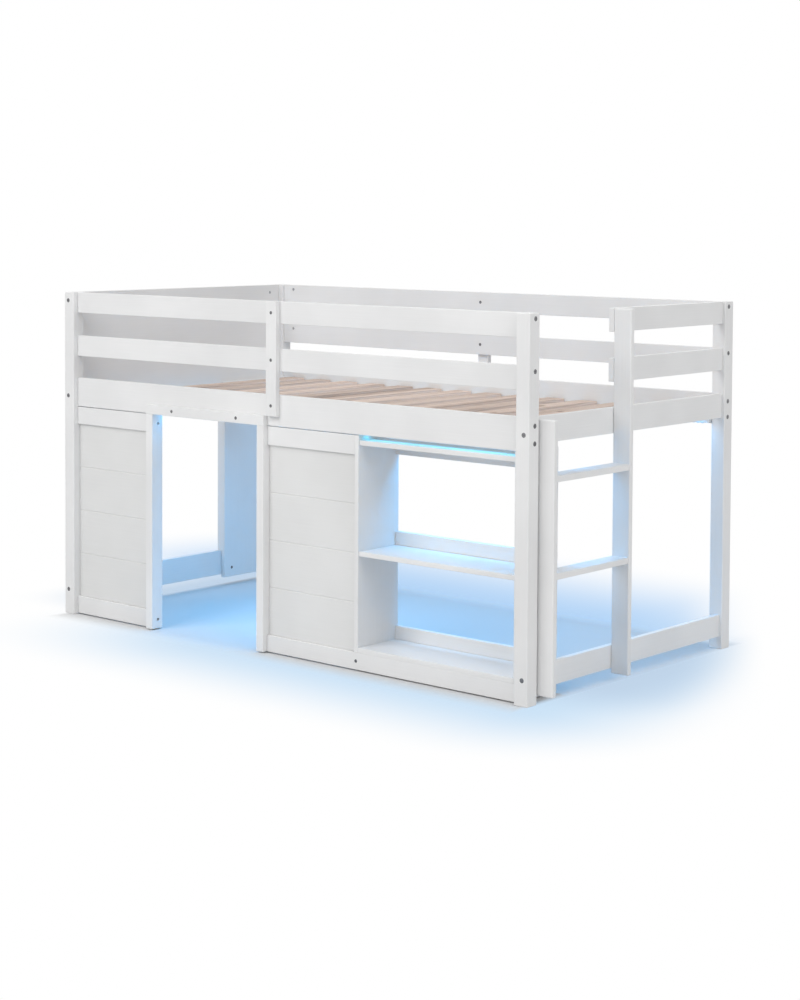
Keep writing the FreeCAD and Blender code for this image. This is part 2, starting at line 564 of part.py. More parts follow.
# Screws of the ladder, from inside the bed through the end boards into the stiles.
floor_screw_z = f"({right_rail_top} - Sizes.bolt_margin)"
for stile, y in (("short", middle(*short_y)), ("tall", middle(*tall_y))):
    screw("right_end_board", f"ladder_{stile}_stile", "+X", (x_end_inner, y, high_bolt))
    screw("right_floor_rail", f"ladder_{stile}_stile", "+X", (x_end_inner, y, floor_screw_z))
for guard, z in (
    ("right_top_guard", middle(top_rail_z[0], top_rail_z[1])),
    ("right_middle_guard", middle(mid_rail_z[0], mid_rail_z[1])),
):
    screw(guard, "ladder_tall_stile", "+X", (x_end_inner, middle(*tall_y), z))

# Screws of the wing panel into the floor rail and the headboard.
wing_front_y = f"({y_wing} + Sizes.wing_screw_margin)"
wing_back_y = f"({y_back_post} - Sizes.wing_screw_margin)"
wing_screw_z = "(Sizes.end_rail_bottom + Sizes.bolt_margin)"
wing_high_z = f"({z_headboard} + Sizes.wing_lap / 2)"
screw("left_wing_panel", "left_floor_rail", "-X", (wing_x[1], wing_front_y, wing_screw_z))
screw("left_wing_panel", "left_floor_rail", "-X", (wing_x[1], wing_back_y, wing_screw_z))
screw("left_wing_panel", "headboard_panel", "-X", (wing_x[1], wing_front_y, wing_high_z))

# Finished sub-parts: each blank with its holes, and the groups of equal pieces.
parts = {}
for node, blank in blanks.items():
    if node in bores:
        finished = doc.addObject("Part::Cut", node)
        finished.Base = blank
        finished.Tool = bores[node][0]
        if len(bores[node]) > 1:
            finished.Tool = doc.addObject("Part::MultiFuse", f"{node}_bores")
            finished.Tool.Shapes = bores[node]
    else:
        finished = blank
    parts[node] = finished
for node, members in (
    ("connector_bolts", bolt_links),
    ("barrel_nuts", nut_links),
    ("wood_screws", screw_links),
    ("led_strips", led_runs),
):
    group = doc.addObject("Part::Compound", node)
    group.Links = members
    parts[node] = group
for node, finished in parts.items():
    finished.Label = node
doc.recompute()

# Every object has to be sound before anything is written.
for item in doc.Objects:
    if "Invalid" in item.State or "Error" in item.State:
        raise RuntimeError(f"{item.Name} failed: {item.State}")
for node, finished in parts.items():
    if finished.Shape.isNull() or not finished.Shape.isValid():
        raise RuntimeError(f"{node} has no valid shape")

os.makedirs("parts", exist_ok=True)
for node, finished in parts.items():
    finished.Shape.exportStep(f"parts/{node}.step")
whole = Part.makeCompound([finished.Shape for finished in parts.values()]).BoundBox
print(f"{len(parts)} nodes, outline {whole.XLength:.1f} x {whole.YLength:.1f} x {whole.ZLength:.1f} mm")
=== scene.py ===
import math

import bpy
from mathutils import Euler, Matrix, Vector


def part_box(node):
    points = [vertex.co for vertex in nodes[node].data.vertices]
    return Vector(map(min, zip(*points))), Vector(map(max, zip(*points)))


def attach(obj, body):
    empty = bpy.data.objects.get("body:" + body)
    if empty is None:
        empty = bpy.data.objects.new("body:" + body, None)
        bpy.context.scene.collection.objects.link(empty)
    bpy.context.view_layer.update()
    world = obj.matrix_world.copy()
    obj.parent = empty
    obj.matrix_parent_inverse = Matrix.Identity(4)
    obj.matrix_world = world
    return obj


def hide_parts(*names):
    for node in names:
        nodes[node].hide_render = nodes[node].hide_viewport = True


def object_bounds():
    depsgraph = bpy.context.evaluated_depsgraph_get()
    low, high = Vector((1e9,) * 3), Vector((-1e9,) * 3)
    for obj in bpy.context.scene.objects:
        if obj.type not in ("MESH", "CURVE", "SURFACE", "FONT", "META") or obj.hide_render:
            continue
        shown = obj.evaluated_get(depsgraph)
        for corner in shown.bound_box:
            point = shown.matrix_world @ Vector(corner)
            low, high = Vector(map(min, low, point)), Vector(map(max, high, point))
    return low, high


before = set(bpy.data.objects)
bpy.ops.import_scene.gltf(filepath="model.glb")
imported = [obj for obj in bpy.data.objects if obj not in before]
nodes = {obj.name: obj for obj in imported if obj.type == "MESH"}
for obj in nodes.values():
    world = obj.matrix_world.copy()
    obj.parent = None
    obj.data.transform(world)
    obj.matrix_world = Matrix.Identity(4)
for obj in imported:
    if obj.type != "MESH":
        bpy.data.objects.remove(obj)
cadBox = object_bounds()
bpy.ops.object.select_all(action="DESELECT")
print("frame loaded:", len(nodes), "nodes")


def tone(red, green, blue):
    # a colour given on screen, 0 to 255, as the linear colour that the shaders take
    def linear(level):
        level /= 255
        return level / 12.92 if level <= 0.04045 else ((level + 0.055) / 1.055) ** 2.4
    return (linear(red), linear(green), linear(blue), 1.0)


# Small helpers for node trees
noiseMiddle = (0.3, 0.7)     # most values of a noise lie between these


def addNode(tree, kind, **values):
    node = tree.nodes.new(kind)
    for name, value in values.items():
        setattr(node, name, value)
    return node


def feed(tree, source, node, socket):
    # a socket takes a link where the source is a socket, and else a plain value
    if isinstance(source, bpy.types.NodeSocket):
        tree.links.new(source, node.inputs[socket])
    else:
        node.inputs[socket].default_value = source


def math2(tree, operation, first, second=0.0):
    node = addNode(tree, "ShaderNodeMath", operation=operation)
    feed(tree, first, node, 0)
    feed(tree, second, node, 1)
    return node.outputs[0]


def vectorMath(tree, operation, first, second=(0.0, 0.0, 0.0)):
    node = addNode(tree, "ShaderNodeVectorMath", operation=operation)
    feed(tree, first, node, 0)
    feed(tree, second, node, 1)
    return node.outputs["Value" if operation == "LENGTH" else "Vector"]


def weigh(tree, first, share, second):
    # the first value by its share, and the second by the rest
    firstPart = math2(tree, "MULTIPLY", first, share)
    secondPart = math2(tree, "MULTIPLY", second, 1 - share)
    return math2(tree, "ADD", firstPart, secondPart)


def product(tree, first, *others):
    for other in others:
        first = math2(tree, "MULTIPLY", first, other)
    return first


def splitAxes(tree, vector):
    node = addNode(tree, "ShaderNodeSeparateXYZ")
    tree.links.new(vector, node.inputs[0])
    return node.outputs


def noise(tree, vector, scale, detail=2.0, roughness=0.5):
    node = addNode(tree, "ShaderNodeTexNoise")
    feed(tree, vector, node, "Vector")
    feed(tree, scale, node, "Scale")
    feed(tree, detail, node, "Detail")
    feed(tree, roughness, node, "Roughness")
    return node.outputs["Fac"]


def spread(tree, value, low, high, newLow=0.0, newHigh=1.0):
    node = addNode(tree, "ShaderNodeMapRange", interpolation_type="SMOOTHSTEP")
    feed(tree, value, node, "Value")
    feed(tree, low, node, "From Min")
    feed(tree, high, node, "From Max")
    feed(tree, newLow, node, "To Min")
    feed(tree, newHigh, node, "To Max")
    return node.outputs["Result"]


def blendColour(tree, amount, first, second):
    # the names of this node's sockets repeat, so its colours go by number
    node = addNode(tree, "ShaderNodeMix", data_type="RGBA")
    feed(tree, amount, node, 0)
    feed(tree, first, node, 6)
    feed(tree, second, node, 7)
    return node.outputs[2]


def bump(tree, height, values):
    node = addNode(tree, "ShaderNodeBump")
    feed(tree, height, node, "Height")
    node.inputs["Strength"].default_value = values["bumpStrength"]
    node.inputs["Distance"].default_value = values["bumpDistance"]
    return node.outputs["Normal"]


def backgroundRays(tree):
    # the rays that see the background: the camera's own, and those off or through the object
    rays = addNode(tree, "ShaderNodeLightPath").outputs
    mirrored = math2(tree, "MAXIMUM", rays["Is Camera Ray"], rays["Is Glossy Ray"])
    return math2(tree, "MAXIMUM", mirrored, rays["Is Transmission Ray"])


def newMaterial(name):
    material = bpy.data.materials.new(name)
    material.use_nodes = True
    tree = material.node_tree
    tree.nodes.clear()
    output = addNode(tree, "ShaderNodeOutputMaterial")
    shader = addNode(tree, "ShaderNodeBsdfPrincipled")
    tree.links.new(shader.outputs[0], output.inputs["Surface"])
    return material, tree, shader


def newGroup(name, results):
    group = bpy.data.node_groups.new(name, "ShaderNodeTree")
    group.interface.new_socket("Vector", in_out="INPUT", socket_type="NodeSocketVector")
    for result in results:
        group.interface.new_socket(result, in_out="OUTPUT", socket_type="NodeSocketFloat")
    vector = addNode(group, "NodeGroupInput").outputs["Vector"]
    return group, vector, addNode(group, "NodeGroupOutput").inputs


def objectCoords(tree, turn=(0.0, 0.0, 0.0)):
    coords = addNode(tree, "ShaderNodeTexCoord")
    mapping = addNode(tree, "ShaderNodeMapping")
    mapping.inputs["Rotation"].default_value = turn
    tree.links.new(coords.outputs["Object"], mapping.inputs["Vector"])
    return mapping.outputs["Vector"]


# White satin paint on wood. The grain runs along the first axis that the group is given.
paintSet = {
    "light": tone(234, 234, 234),
    "dark": tone(225, 225, 225),
    "panelLight": tone(227, 227, 226),
    "panelDark": tone(218, 218, 217),
    "grainAlong": 5.0,       # streaks per metre
    "grainAcross": 330.0,
    "grainDetail": 3.0,
    "grainRoughness": 0.55,
    "peelScale": 620.0,      # the roller's fine orange peel
    "driftScale": 2.6,       # slow change of tone over a board
    "driftDetail": 3.0,
    "driftTone": 0.80,       # the drift's share of the tone; the grain has the rest
    "driftRough": 0.60,      # its share of the roughness; the peel has the rest
    "grainHeight": 0.75,     # the grain's share of the relief; the peel has the rest
    "roughness": (0.36, 0.50),
    "bumpStrength": 0.035,
    "bumpDistance": 0.0005,
}


def makePaintGroup():
    group, vector, leave = newGroup("paintedGrain", ("Tone", "Roughness", "Height"))
    grainSize = (paintSet["grainAlong"], paintSet["grainAcross"], paintSet["grainAcross"])
    sawn = vectorMath(group, "MULTIPLY", vector, grainSize)
    grain = noise(group, sawn, 1.0, paintSet["grainDetail"], paintSet["grainRoughness"])
    peel = noise(group, vector, paintSet["peelScale"])
    drift = noise(group, vector, paintSet["driftScale"], paintSet["driftDetail"])
    shade = weigh(group, drift, paintSet["driftTone"], grain)
    gloss = weigh(group, drift, paintSet["driftRough"], peel)
    height = weigh(group, grain, paintSet["grainHeight"], peel)
    group.links.new(spread(group, shade, *noiseMiddle), leave["Tone"])
    group.links.new(spread(group, gloss, *noiseMiddle, *paintSet["roughness"]), leave["Roughness"])
    group.links.new(height, leave["Height"])
    return group


paintGroup = makePaintGroup()
quarter = math.pi / 2
boardTurns = {"X": (0.0, 0.0, 0.0), "Y": (0.0, 0.0, quarter), "Z": (0.0, quarter, 0.0)}


def makePaint(name, axis, dark, light):
    material, tree, shader = newMaterial(name)
    coat = addNode(tree, "ShaderNodeGroup", node_tree=paintGroup)
    tree.links.new(objectCoords(tree, boardTurns[axis]), coat.inputs["Vector"])
    colour = blendColour(tree, coat.outputs["Tone"], dark, light)
    tree.links.new(colour, shader.inputs["Base Color"])
    tree.links.new(coat.outputs["Roughness"], shader.inputs["Roughness"])
    tree.links.new(bump(tree, coat.outputs["Height"], paintSet), shader.inputs["Normal"])
    return material


paints = {}
for axis in boardTurns:
    paints[axis] = makePaint("whitePaintAlong" + axis, axis, paintSet["dark"], paintSet["light"])
panelPaint = makePaint("panelPaint", "X", paintSet["panelDark"], paintSet["panelLight"])
levelPlanks = ("left_panel_boards", "right_panel_boards")   # a little greyer, with level grain


def paintFor(name):
    if name in levelPlanks:
        return panelPaint
    # elsewhere the grain runs along the longest side
    low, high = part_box(name)
    sides = high - low
    return paints["XYZ"[max(range(3), key=lambda side: sides[side])]]


# Bare pine of the slats, with rings that the saw has cut along each slat
slatNames = sorted(name for name in nodes if name.startswith("slat_"))
firstSlat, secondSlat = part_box(slatNames[0]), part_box(slatNames[1])
pineSet = {
    "early": tone(235, 215, 202),
    "late": tone(180, 156, 141),
    "knot": tone(138, 103, 82),
    "start": firstSlat[0].x,
    "width": firstSlat[1].x - firstSlat[0].x,
    "pitch": secondSlat[0].x - firstSlat[0].x,
    "apart": (0.4, 3.0, 0.3),    # metres in the log between one slat and another, at most
    "softDetail": 1.0,       # of the sway, the rings and the bands
    "swaySize": (4.0, 1.3, 4.0),
    "sway": 0.06,
    "ringScale": 52.0,
    "ringLength": 0.10,      # rings change this much slower along a slat than across it
    "ringDistortion": 1.0,
    "ringRange": (0.30, 1.0),
    "ringShare": 0.45,       # how far rings, bands and streaks turn early wood to late
    "bandSize": (42.0, 1.1, 42.0),
    "bandRange": (0.38, 0.62),
    "bandShare": 0.40,
    "streakSize": (520.0, 9.0, 520.0),
    "streakDetail": 3.0,
    "streakRoughness": 0.6,
    "streakRange": (0.45, 0.75),
    "streakShare": 0.25,
    "knotSize": (9.0, 3.2, 9.0),
    "knotRange": (0.05, 0.11),
    "slatTones": (0.86, 1.06),   # from the darkest slat to the lightest
    "streakHeight": 0.6,     # the streaks' share of the relief; the rings have the rest
    "roughness": (0.62, 0.78),
    "bumpStrength": 0.25,
    "bumpDistance": 0.0006,
}


def makePine():
    material, tree, shader = newMaterial("barePine")
    vector = objectCoords(tree)
    # one number for each slat, so that no two are cut from the same place
    halfGap = (pineSet["pitch"] - pineSet["width"]) / 2
    place = math2(tree, "SUBTRACT", splitAxes(tree, vector)["X"], pineSet["start"] - halfGap)
    number = math2(tree, "FLOOR", math2(tree, "DIVIDE", place, pineSet["pitch"]))
    chance = addNode(tree, "ShaderNodeTexWhiteNoise", noise_dimensions="1D")
    tree.links.new(number, chance.inputs["W"])
    apart = vectorMath(tree, "MULTIPLY", chance.outputs["Color"], pineSet["apart"])
    own = vectorMath(tree, "ADD", apart, vector)
    swayed = vectorMath(tree, "MULTIPLY", own, pineSet["swaySize"])
    sway = noise(tree, swayed, 1.0, pineSet["softDetail"])
    shift = addNode(tree, "ShaderNodeCombineXYZ")
    tree.links.new(math2(tree, "MULTIPLY", sway, pineSet["sway"]), shift.inputs["X"])
    moved = vectorMath(tree, "ADD", own, shift.outputs[0])
    rings = addNode(tree, "ShaderNodeTexWave", wave_type="RINGS", wave_profile="SAW")
    rings.rings_direction = "Y"
    ringSize = (1.0, pineSet["ringLength"], 1.0)
    tree.links.new(vectorMath(tree, "MULTIPLY", moved, ringSize), rings.inputs["Vector"])
    rings.inputs["Scale"].default_value = pineSet["ringScale"]
    rings.inputs["Distortion"].default_value = pineSet["ringDistortion"]
    rings.inputs["Detail"].default_value = pineSet["softDetail"]
    streaked = vectorMath(tree, "MULTIPLY", own, pineSet["streakSize"])
    streak = noise(tree, streaked, 1.0, pineSet["streakDetail"], pineSet["streakRoughness"])
    banded = vectorMath(tree, "MULTIPLY", own, pineSet["bandSize"])
    band = spread(tree, noise(tree, banded, 1.0, pineSet["softDetail"]), *pineSet["bandRange"])
    ring = spread(tree, rings.outputs["Fac"], *pineSet["ringRange"])
    late = math2(tree, "MULTIPLY", ring, pineSet["ringShare"])
    fine = spread(tree, streak, *pineSet["streakRange"], 0.0, pineSet["streakShare"])
    broad = math2(tree, "MULTIPLY", band, pineSet["bandShare"])
    lateness = math2(tree, "ADD", math2(tree, "ADD", late, fine), broad)
    wood = blendColour(tree, lateness, pineSet["early"], pineSet["late"])
    knots = addNode(tree, "ShaderNodeTexVoronoi", feature="F1")
    tree.links.new(vectorMath(tree, "MULTIPLY", own, pineSet["knotSize"]), knots.inputs["Vector"])
    knots.inputs["Scale"].default_value = 1.0
    inKnot = spread(tree, knots.outputs["Distance"], *pineSet["knotRange"], 1.0, 0.0)
    slatTone = addNode(tree, "ShaderNodeHueSaturation")
    tree.links.new(blendColour(tree, inKnot, wood, pineSet["knot"]), slatTone.inputs["Color"])
    value = spread(tree, chance.outputs["Value"], 0.0, 1.0, *pineSet["slatTones"])
    tree.links.new(value, slatTone.inputs["Value"])
    tree.links.new(slatTone.outputs[0], shader.inputs["Base Color"])
    tree.links.new(spread(tree, streak, *noiseMiddle, *pineSet["roughness"]), shader.inputs["Roughness"])
    height = weigh(tree, streak, pineSet["streakHeight"], late)
    tree.links.new(bump(tree, height, pineSet), shader.inputs["Normal"])
    return material


# Steel of the bolts, screws and nuts, each roughness from the low tone to the high one
steelSet = {
    "dark": {"low": tone(102, 102, 104), "high": tone(148, 148, 151), "roughness": (0.55, 0.34)},
    "zinc": {"low": tone(150, 152, 155), "high": tone(196, 198, 202), "roughness": (0.42, 0.24)},
    "speckScale": 900.0,
    "speckShare": 0.4,       # of the tone; clouds have the rest
    "cloudScale": 140.0,
    "cloudDetail": 3.0,
    "bumpStrength": 0.2,
    "bumpDistance": 0.0001,
}


def makeSteelGroup():
    group, vector, leave = newGroup("steelSkin", ("Tone", "Height"))
    speck = noise(group, vector, steelSet["speckScale"])
    cloud = noise(group, vector, steelSet["cloudScale"], steelSet["cloudDetail"])
    mixed = weigh(group, speck, steelSet["speckShare"], cloud)
    group.links.new(spread(group, mixed, *noiseMiddle), leave["Tone"])
    group.links.new(speck, leave["Height"])
    return group


steelGroup = makeSteelGroup()


def makeSteel(kind):
    values = steelSet[kind]
    material, tree, shader = newMaterial(kind + "Steel")
    skin = addNode(tree, "ShaderNodeGroup", node_tree=steelGroup)
    tree.links.new(objectCoords(tree), skin.inputs["Vector"])
    shader.inputs["Metallic"].default_value = 1.0
    colour = blendColour(tree, skin.outputs["Tone"], values["low"], values["high"])
    tree.links.new(colour, shader.inputs["Base Color"])
    rough = spread(tree, skin.outputs["Tone"], 0.0, 1.0, *values["roughness"])
    tree.links.new(rough, shader.inputs["Roughness"])
    tree.links.new(bump(tree, skin.outputs["Height"], steelSet), shader.inputs["Normal"])
    return material


darkSteel, zincSteel, pine = makeSteel("dark"), makeSteel("zinc"), makePine()
steelNodes = {"connector_bolts": darkSteel, "wood_screws": darkSteel, "barrel_nuts": zincSteel}
for name, node in nodes.items():
    if name in slatNames:
        finish = pine
    elif name in steelNodes:
        finish = steelNodes[name]
    else:
        finish = paintFor(name)
    node.data.materials.clear()
    node.data.materials.append(finish)
print("finishes on the frame")


# Light tape: a white flexible strip with small lamps along it, one run under each ledger
tapeSet = {
    "width": 0.010,
    "base": 0.0006,          # thickness of the flexible strip
    "lampCount": 110,
    "lampSide": 0.0050,
    "lampHeight": 0.0016,
    "lampBevel": 0.0003,
    "lensInset": 0.0007,
    "lensSlope": 0.0007 / 3,     # a third of the inset
    "lensDepth": 0.0003,
    "chipSize": (0.0020, 0.0012, 0.0006),
    "chipBevel": 0.0001,
    "chipAside": 0.002,      # from the middle of the strip
    "padSize": (0.0022, 0.0018, 0.0001),
    "padStep": 0.010 / 3.4,  # three pads share the width and a little edge
    "glow": (0.16, 0.66, 1.0, 1.0),
    "glowDeep": 0.8,         # the darkest part of the glow
    "glowStrength": 7.5,
    "glowCloud": 1500.0,
}
plasticSet = {
    "tapeWhite": {"low": tone(222, 222, 220), "high": tone(236, 236, 234), "rough": 0.45, "cloud": 700.0},
    "lampBody": {"low": tone(238, 238, 234), "high": tone(247, 247, 244), "rough": 0.32, "cloud": 900.0},
    "lampGlow": {"low": tone(190, 226, 240), "high": tone(214, 240, 250), "rough": 0.25, "cloud": 1200.0},
    "chipBlack": {"low": tone(26, 26, 28), "high": tone(46, 46, 48), "rough": 0.5, "cloud": 1500.0},
    "padTin": {"low": tone(168, 168, 166), "high": tone(200, 200, 198), "rough": 0.3, "cloud": 1200.0},
    "roughSpread": 0.06,
    "bumpStrength": 0.1,
    "bumpDistance": 0.0001,
}


def makePlastic(name):
    values = plasticSet[name]
    material, tree, shader = newMaterial(name)
    cloud = noise(tree, objectCoords(tree), values["cloud"])
    colour = blendColour(tree, spread(tree, cloud, *noiseMiddle), values["low"], values["high"])
    tree.links.new(colour, shader.inputs["Base Color"])
    smoothest = values["rough"] - plasticSet["roughSpread"]
    roughest = values["rough"] + plasticSet["roughSpread"]
    tree.links.new(spread(tree, cloud, *noiseMiddle, smoothest, roughest), shader.inputs["Roughness"])
    tree.links.new(bump(tree, cloud, plasticSet), shader.inputs["Normal"])
    return material, tree, shader


def makeGlow():
    material, tree, shader = makePlastic("lampGlow")
    cloud = noise(tree, objectCoords(tree), tapeSet["glowCloud"])
    deep = tuple(tapeSet["glowDeep"] * part for part in tapeSet["glow"][:3]) + (1.0,)
    tree.links.new(blendColour(tree, cloud, deep, tapeSet["glow"]), shader.inputs["Emission Color"])
    shader.inputs["Emission Strength"].default_value = tapeSet["glowStrength"]
    return material


tapeFinishes = {
    "strip": makePlastic("tapeWhite")[0],
    "lamp": makePlastic("lampBody")[0],
    "glow": makeGlow(),
    "chip": makePlastic("chipBlack")[0],
    "pad": makePlastic("padTin")[0],
}
tapeSlots = {name: number for number, name in enumerate(tapeFinishes)}


def addBlock(name, size, centre, bevel, finish):
    # a block with rounded edges, its place in its mesh
    bpy.ops.object.select_all(action="DESELECT")
    bpy.ops.mesh.primitive_cube_add(size=1.0, location=centre)
    block = bpy.context.object
    block.name = name
    block.scale = size
    bpy.ops.object.transform_apply(location=True, rotation=False, scale=True)
    if bevel:
        rounding = block.modifiers.new("rounding", "BEVEL")
        rounding.width = bevel
        rounding.segments = 1
        bpy.ops.object.modifier_apply(modifier=rounding.name)
    for material in tapeFinishes.values():
        block.data.materials.append(material)
    for face in block.data.polygons:
        face.material_index = tapeSlots[finish]
    return block


def addLens(block):
    # the window of a lamp: its lowest face drawn in and sunk
    bpy.ops.object.mode_set(mode="EDIT")
    bpy.ops.mesh.select_all(action="DESELECT")
    bpy.ops.object.mode_set(mode="OBJECT")
    lowest = min(block.data.polygons, key=lambda face: face.center.z)
    lowest.select = True
    bpy.ops.object.mode_set(mode="EDIT")
    bpy.ops.mesh.select_mode(type="FACE")
    bpy.ops.mesh.inset(thickness=tapeSet["lensInset"], depth=0.0)
    bpy.ops.mesh.inset(thickness=tapeSet["lensSlope"], depth=-tapeSet["lensDepth"])
    bpy.ops.object.mode_set(mode="OBJECT")
    for face in block.data.polygons:
        if face.select:
            face.material_index = tapeSlots["glow"]


def makeTape(name, frontEdge):
    low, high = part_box("led_strips")
    pitch = (high.x - low.x) / tapeSet["lampCount"]
    middle = Vector((low.x + pitch / 2, frontEdge + tapeSet["width"] / 2, high.z))
    baseLow = high.z - tapeSet["base"]
    stripSize = (pitch, tapeSet["width"], tapeSet["base"])
    stripCentre = middle - Vector((0, 0, tapeSet["base"] / 2))
    strip = addBlock(name, stripSize, stripCentre, 0, "strip")
    side, height = tapeSet["lampSide"], tapeSet["lampHeight"]
    lampCentre = Vector((middle.x, middle.y, baseLow - height / 2))
    lamp = addBlock(name + "Lamp", (side, side, height), lampCentre, tapeSet["lampBevel"], "lamp")
    addLens(lamp)
    parts = [strip, lamp]
    chip = tapeSet["chipSize"]
    chipX = middle.x + side / 2 + chip[0]
    chipCentre = Vector((chipX, middle.y - tapeSet["chipAside"], baseLow - chip[2] / 2))
    parts.append(addBlock(name + "Chip", chip, chipCentre, tapeSet["chipBevel"], "chip"))
    pad = tapeSet["padSize"]
    for step in (-1, 0, 1):
        padY = middle.y + step * tapeSet["padStep"]
        padCentre = Vector((low.x + pad[0] / 2, padY, baseLow - pad[2] / 2))
        parts.append(addBlock(name + "Pad", pad, padCentre, 0, "pad"))
    bpy.ops.object.select_all(action="DESELECT")
    for part in parts:
        part.select_set(True)
    bpy.context.view_layer.objects.active = strip
    bpy.ops.object.join()
    bpy.ops.object.origin_set(type="ORIGIN_CURSOR")
    row = strip.modifiers.new("row", "ARRAY")
    row.count = tapeSet["lampCount"]
    row.use_relative_offset = False
    row.use_constant_offset = True
    row.constant_offset_displace = (pitch, 0.0, 0.0)
    bpy.ops.object.modifier_apply(modifier=row.name)
    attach(strip, "root")
    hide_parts("led_strips")


stripLow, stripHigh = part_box("led_strips")
makeTape("lightTapeFront", stripLow.y)
makeTape("lightTapeBack", stripHigh.y - tapeSet["width"])
print("light tapes in place")


# Floor: below the bed it takes shadow and blue light, over a painted shade of darker colour; round the
# bed it has a pale blue rim of painted blue glow and painted shade, and further out it is white
floorSet = {
    "side": 60.0,
    "colour": tone(222, 222, 222),
    # painted shade: a darker floor colour below the bed
    "below": tone(208, 208, 208),
    "white": (1.0, 1.0, 1.0, 1.0),
    # painted blue glow of the tape light and painted shade: the pale blue rim round the bed
    "frontPaintedGlowAndShade": tone(204, 227, 247),
    "backPaintedGlowAndShade": tone(180, 213, 247),
    "endPaintedGlowAndShade": tone(192, 212, 233),
    "lit": (-0.03, 0.10),    # metres outside the bed's outline, where the lit floor gives way to the rim
    "endPace": 3.0,          # at the two ends it gives way this many times sooner
    "endShift": 0.027,       # and from this much further in
    "frontWhite": 0.58,      # metres outside it, where the rim has turned white
    "backWhite": 1.10,
    "endWhite": 0.42,
    "besideEnds": (-0.10, -0.01),    # from the rim of the long sides to that of the ends
    "endFront": (-0.55, -0.15),  # the rim at the ends fades out towards the front
    "rimLeft": (-1.15, -0.25),   # the front rim fades out towards the left end
    "behind": (0.10, 0.60),  # from the front rim to the back one
    "besideLadder": (0.40, 1.05),    # and to the front one again beside the ladder
    "slant": 0.594,          # the rims end right of the bed at a line that leans back by this much
    "rimRight": (1.06, 1.43),
}


def makePaintedGlowAndShade(tree, distance, beyond):
    # the colour of the floor outside the bed: a painted blue glow of the tape light with painted shade
    # near the bed, turning white further out
    place = splitAxes(tree, objectCoords(tree))
    lean = math2(tree, "MULTIPLY", place["Y"], floorSet["slant"])
    fromRight = math2(tree, "ADD", place["X"], lean)
    inside = spread(tree, fromRight, *floorSet["rimRight"], 1.0, 0.0)
    ahead = spread(tree, place["X"], *floorSet["rimLeft"])
    frontFade = spread(tree, distance, 0.0, floorSet["frontWhite"], 1.0, 0.0)
    frontPaintedGlowAndShade = product(tree, ahead, frontFade, inside)
    frontColour = blendColour(tree, frontPaintedGlowAndShade, floorSet["white"], floorSet["frontPaintedGlowAndShade"])
    backFade = spread(tree, distance, 0.0, floorSet["backWhite"], 1.0, 0.0)
    backPaintedGlowAndShade = product(tree, backFade, inside)
    backColour = blendColour(tree, backPaintedGlowAndShade, floorSet["white"], floorSet["backPaintedGlowAndShade"])
    fromLadder = spread(tree, place["X"], *floorSet["besideLadder"], 1.0, 0.0)
    behind = product(tree, spread(tree, place["Y"], *floorSet["behind"]), fromLadder)
    longSides = blendColour(tree, behind, frontColour, backColour)
    besideEnds = spread(tree, beyond["X"], *floorSet["besideEnds"])
    fromFront = spread(tree, place["Y"], *floorSet["endFront"])
    endFade = spread(tree, distance, 0.0, floorSet["endWhite"], 1.0, 0.0)
    endPaintedGlowAndShade = product(tree, inside, besideEnds, fromFront, endFade)
    return blendColour(tree, endPaintedGlowAndShade, longSides, floorSet["endPaintedGlowAndShade"])


def makeFloor():
    bpy.ops.object.select_all(action="DESELECT")
    bpy.ops.mesh.primitive_plane_add(size=floorSet["side"], location=(0.0, 0.0, 0.0))
    floor = bpy.context.object
    floor.name = "floor"
    material = bpy.data.materials.new("floorPaintedGlowAndShade")
    material.use_nodes = True
    tree = material.node_tree
    tree.nodes.clear()
    output = addNode(tree, "ShaderNodeOutputMaterial")
    matt = addNode(tree, "ShaderNodeBsdfDiffuse")
    # distance from the outline of the four posts on the floor
    footLow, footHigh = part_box("post_front_left")[0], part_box("post_back_right")[1]
    centred = vectorMath(tree, "SUBTRACT", objectCoords(tree), (footLow + footHigh) / 2)
    outline = vectorMath(tree, "ABSOLUTE", centred)
    past = vectorMath(tree, "SUBTRACT", outline, (footHigh - footLow) / 2)
    distance = vectorMath(tree, "LENGTH", vectorMath(tree, "MAXIMUM", past))
    beyond = splitAxes(tree, past)
    fromEnds = math2(tree, "ADD", beyond["X"], floorSet["endShift"])
    ends = math2(tree, "MULTIPLY", fromEnds, floorSet["endPace"])
    edge = math2(tree, "MAXIMUM", ends, beyond["Y"])
    outside = spread(tree, edge, *floorSet["lit"])
    # painted shade: the matt floor is darker below the bed
    colour = blendColour(tree, outside, floorSet["below"], floorSet["colour"])
    tree.links.new(colour, matt.inputs["Color"])
    # outside the bed the floor shows the painted glow and shade as an emission, which takes no shadow
    paintedRimAndWhite = addNode(tree, "ShaderNodeEmission")
    paintedRimAndWhite.inputs["Strength"].default_value = 1.0
    tree.links.new(makePaintedGlowAndShade(tree, distance, beyond), paintedRimAndWhite.inputs["Color"])
    seen = addNode(tree, "ShaderNodeMixShader")
    tree.links.new(outside, seen.inputs[0])
    tree.links.new(matt.outputs[0], seen.inputs[1])
    tree.links.new(paintedRimAndWhite.outputs[0], seen.inputs[2])
    final = addNode(tree, "ShaderNodeMixShader")
    tree.links.new(backgroundRays(tree), final.inputs[0])
    tree.links.new(matt.outputs[0], final.inputs[1])
    tree.links.new(seen.outputs[0], final.inputs[2])
    tree.links.new(final.outputs[0], output.inputs["Surface"])
    floor.data.materials.append(material)


makeFloor()


